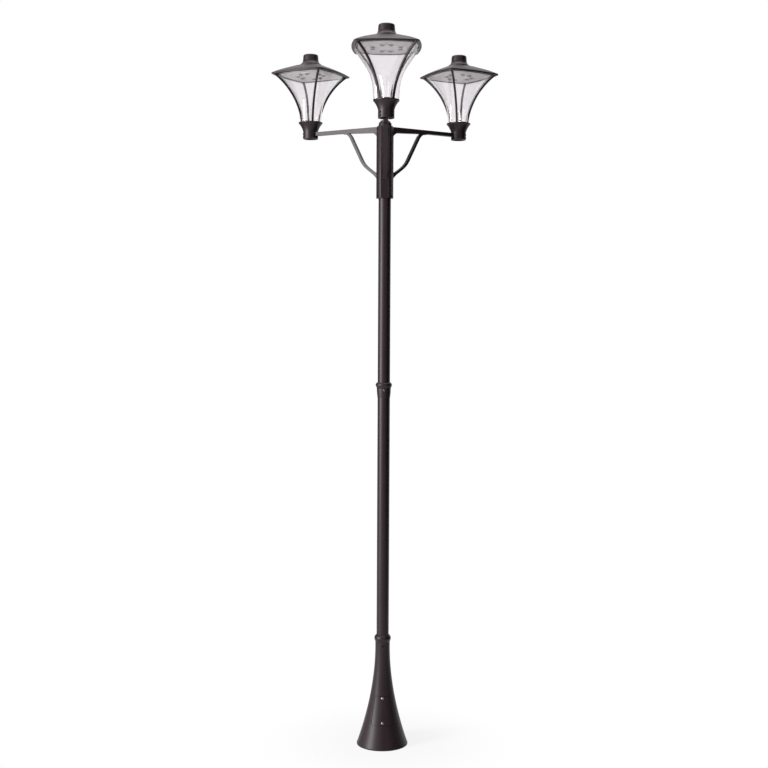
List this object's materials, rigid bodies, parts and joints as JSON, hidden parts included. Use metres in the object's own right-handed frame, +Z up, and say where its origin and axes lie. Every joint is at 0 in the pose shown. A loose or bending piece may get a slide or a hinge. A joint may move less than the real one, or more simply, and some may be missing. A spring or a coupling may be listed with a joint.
{
  "type": "garden lamp post",
  "caption": "Tall garden lamp post with several vase-shaped clear lanterns on braced arms around a six-sided crown sleeve, with a trumpet base cover and access door.",
  "frame": {"origin": "on the pole axis at ground level, at the underside of the foundation flange", "axes": "+Z up along the pole, -Y towards the front arm and the access door, +X to the right seen from the front"},
  "size_m": [1.124, 0.9897, 3.406],
  "materials": {
    "powder_coat": "satin anthracite powder coat",
    "galvanised": "hot-dip galvanised",
    "stainless": "bright stainless",
    "box_plastic": "matt light grey",
    "clear_diffuser": "clear moulded polycarbonate",
    "seal_rubber": "matt black",
    "tray_white": "gloss white",
    "lens_clear": "clear moulded lenses on a white board",
    "driver_case": "matt white"
  },
  "bodies": {
    "post": {"arm_front": "powder_coat", "arm_left": "powder_coat", "arm_right": "powder_coat", "base_cover": "powder_coat", "base_cover_screws": "stainless", "base_flange": "galvanised", "coupling_collar": "powder_coat", "coupling_screws": "stainless", "crown_sleeve": "powder_coat", "front_base_plate": "tray_white", "front_cage": "powder_coat", "front_collar": "powder_coat", "front_collar_screws": "stainless", "front_diffuser": "clear_diffuser", "front_driver": "driver_case", "front_gasket": "seal_rubber", "front_led_modules": "lens_clear", "front_led_tray": "tray_white", "front_roof": "powder_coat", "joint_spigot": "galvanised", "left_base_plate": "tray_white", "left_cage": "powder_coat", "left_collar": "powder_coat", "left_collar_screws": "stainless", "left_diffuser": "clear_diffuser", "left_driver": "driver_case", "left_gasket": "seal_rubber", "left_led_modules": "lens_clear", "left_led_tray": "tray_white", "left_roof": "powder_coat", "lower_pole": "powder_coat", "post_cap": "powder_coat", "right_base_plate": "tray_white", "right_cage": "powder_coat", "right_collar": "powder_coat", "right_collar_screws": "stainless", "right_diffuser": "clear_diffuser", "right_driver": "driver_case", "right_gasket": "seal_rubber", "right_led_modules": "lens_clear", "right_led_tray": "tray_white", "right_roof": "powder_coat", "sleeve_screws": "stainless", "terminal_box": "box_plastic", "terminal_lid": "box_plastic", "upper_pole": "powder_coat"},
    "door": {"access_door": "powder_coat"},
    "upper_screw": {"door_screw_upper": "stainless"},
    "lower_screw": {"door_screw_lower": "stainless"}
  },
  "joints": [
    {"name": "door_lift_off", "type": "slide", "parent": "post", "child": "door", "axis": [0, -1, 0], "range_m": [0, 0.09]},
    {"name": "upper_screw_turn", "type": "hinge", "parent": "door", "child": "upper_screw", "pos_m": [0, -0.06, 0.2385], "axis": [0, -1, 0], "continuous": true},
    {"name": "lower_screw_turn", "type": "hinge", "parent": "door", "child": "lower_screw", "pos_m": [0, -0.086, 0.1235], "axis": [0, -1, 0], "continuous": true}
  ]
}
